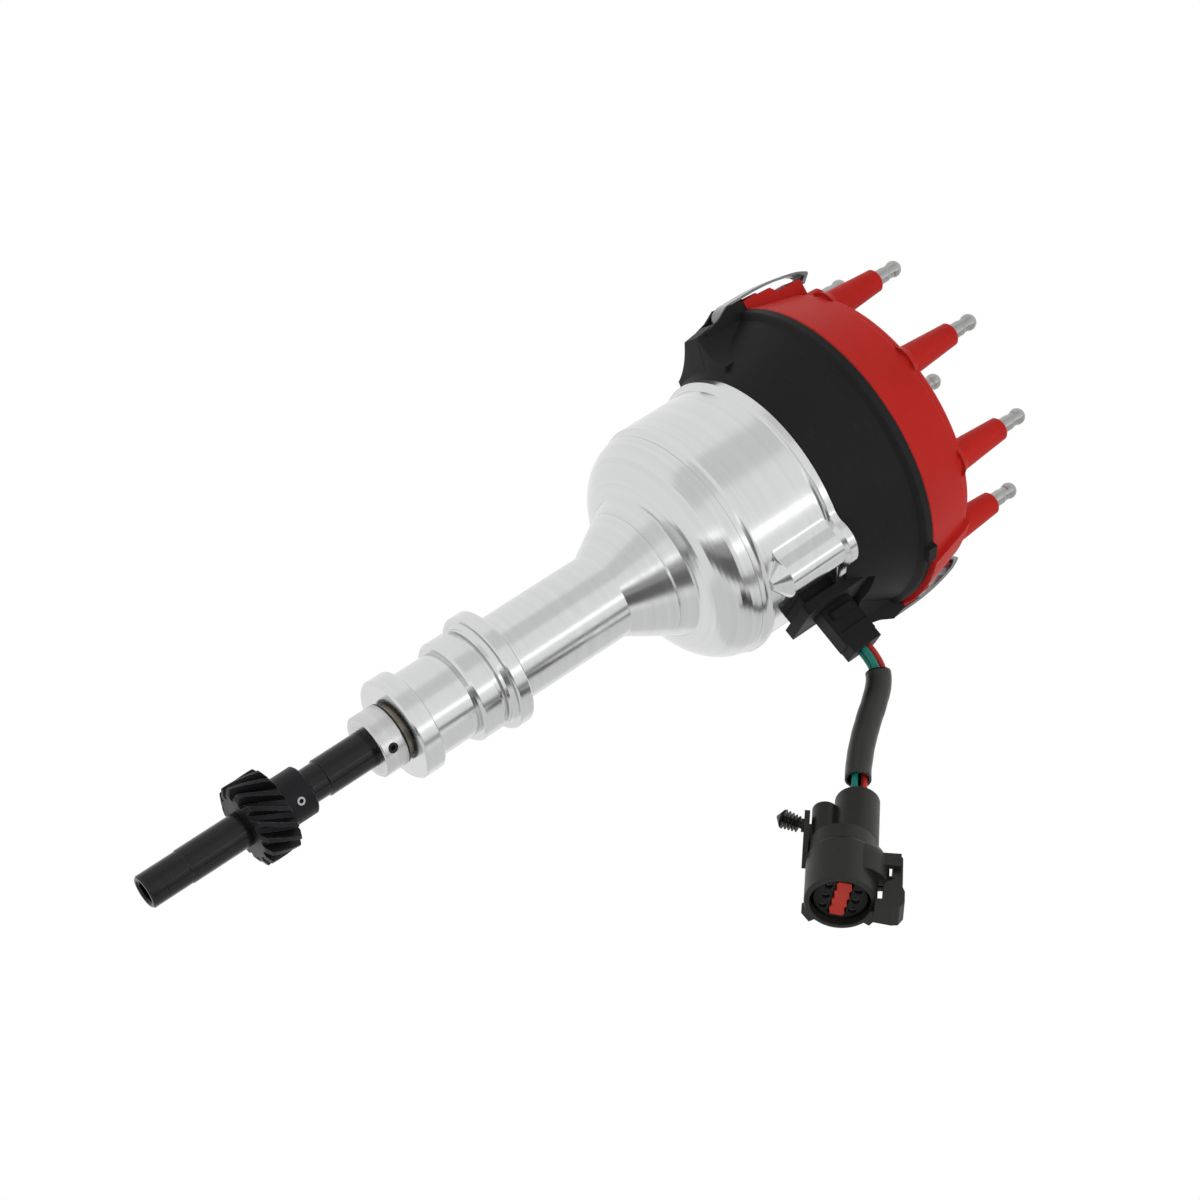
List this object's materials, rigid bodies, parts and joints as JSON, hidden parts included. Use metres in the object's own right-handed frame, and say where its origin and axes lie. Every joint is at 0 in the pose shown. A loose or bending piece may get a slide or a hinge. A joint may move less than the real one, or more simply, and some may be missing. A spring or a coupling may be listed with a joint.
{
  "type": "ignition distributor",
  "caption": "Gear-driven ignition distributor with a two-piece machined housing, cap with plug wire towers, spring clips, Hall pickup pigtail and round harness connector",
  "frame": {"origin": "on the shaft's axis, in the plane of the seat face that rests on the engine block", "axes": "+Z along the shaft's axis towards the cap, +X through the hinge of spring clip B, +Y to the left seen from that clip"},
  "size_m": [0.2098, 0.1656, 0.3837],
  "materials": {
    "machined_aluminium": "bright turned aluminium with fine lathe bands",
    "sintered_bronze": "oiled sintered bronze",
    "bearing_steel": "ground bearing steel",
    "black_steel": "steel with black oxide and a film of oil",
    "black_iron": "hobbed gear with black oxide, bright on the tooth edges",
    "plate_steel": "plain sheet steel",
    "black_plastic": "glass-filled black plastic",
    "plated_steel": "zinc plated steel",
    "bright_steel": "bright drawn steel",
    "red_cap_plastic": "moulded red plastic, satin",
    "terminal_metal": "dull plated terminal metal",
    "green_insulation": "teal green wire insulation",
    "red_insulation": "red wire insulation",
    "sleeve_rubber": "black woven sleeve under tape",
    "connector_plastic": "dark moulded nylon",
    "red_wedge_plastic": "red moulded nylon",
    "collar_steel": "turned steel",
    "rotor_plastic": "dark rotor plastic",
    "rotor_brass": "brass strip with burnt tip",
    "clip_steel": "bright spring steel strip",
    "carbon": "carbon brush"
  },
  "bodies": {
    "housing": {"shank": "machined_aluminium", "bowl": "machined_aluminium", "lower_bushing": "sintered_bronze", "bearing_outer_race": "bearing_steel", "bearing_balls": "bearing_steel", "retaining_ring": "black_steel", "pickup_plate": "plate_steel", "hall_sensor": "black_plastic", "plate_screws": "plated_steel", "pickup_socket": "black_plastic", "cap_adapter": "black_plastic", "adapter_screws": "plated_steel", "clip_pins": "bright_steel", "distributor_cap": "red_cap_plastic", "cap_terminals": "terminal_metal", "centre_terminal": "terminal_metal", "brush_spring": "bright_steel", "harness_plug": "black_plastic", "wire_green_1": "green_insulation", "wire_green_2": "green_insulation", "wire_red": "red_insulation", "wire_sleeve": "sleeve_rubber", "connector_shell": "connector_plastic", "connector_core": "black_plastic", "connector_wedge": "red_wedge_plastic", "connector_sockets": "terminal_metal", "fir_tree_clip": "connector_plastic"},
    "rotating": {"shaft": "black_steel", "drive_gear": "black_iron", "gear_pin": "bright_steel", "thrust_collar": "collar_steel", "collar_screw": "black_steel", "thrust_shim": "black_steel", "bearing_inner_race": "bearing_steel", "shutter_wheel": "plate_steel", "rotor_base": "machined_aluminium", "rotor": "rotor_plastic", "rotor_blade": "rotor_brass", "rotor_screws": "plated_steel"},
    "clip_a": {"spring_clip_a": "clip_steel"},
    "clip_b": {"spring_clip_b": "clip_steel"},
    "brush": {"carbon_brush": "carbon"},
    "latch": {"connector_latch": "connector_plastic"}
  },
  "joints": [
    {"name": "shaft_spin", "type": "hinge", "parent": "housing", "child": "rotating", "pos_m": [0, 0, 0], "axis": [0, 0, 1], "continuous": true},
    {"name": "clip_a_swing", "type": "hinge", "parent": "housing", "child": "clip_a", "pos_m": [-0.0635, 0, 0.158], "axis": [0, -1, 0], "range_deg": [0, 70]},
    {"name": "clip_b_swing", "type": "hinge", "parent": "housing", "child": "clip_b", "pos_m": [0.0635, 0, 0.158], "axis": [0, 1, 0], "range_deg": [0, 70]},
    {"name": "brush_slide", "type": "slide", "parent": "housing", "child": "brush", "axis": [0, 0, 1], "range_m": [0, 0.0012], "stiffness_N_per_m": 300, "springref_m": -0.003, "deforming": ["brush_spring"]},
    {"name": "latch_flex", "type": "hinge", "parent": "housing", "child": "latch", "pos_m": [0.12735, -0.08401, 0.06764], "axis": [-0.7649, -0.6334, 0.1171], "range_deg": [0, 6], "stiffness_Nm_per_rad": 0.3}
  ]
}
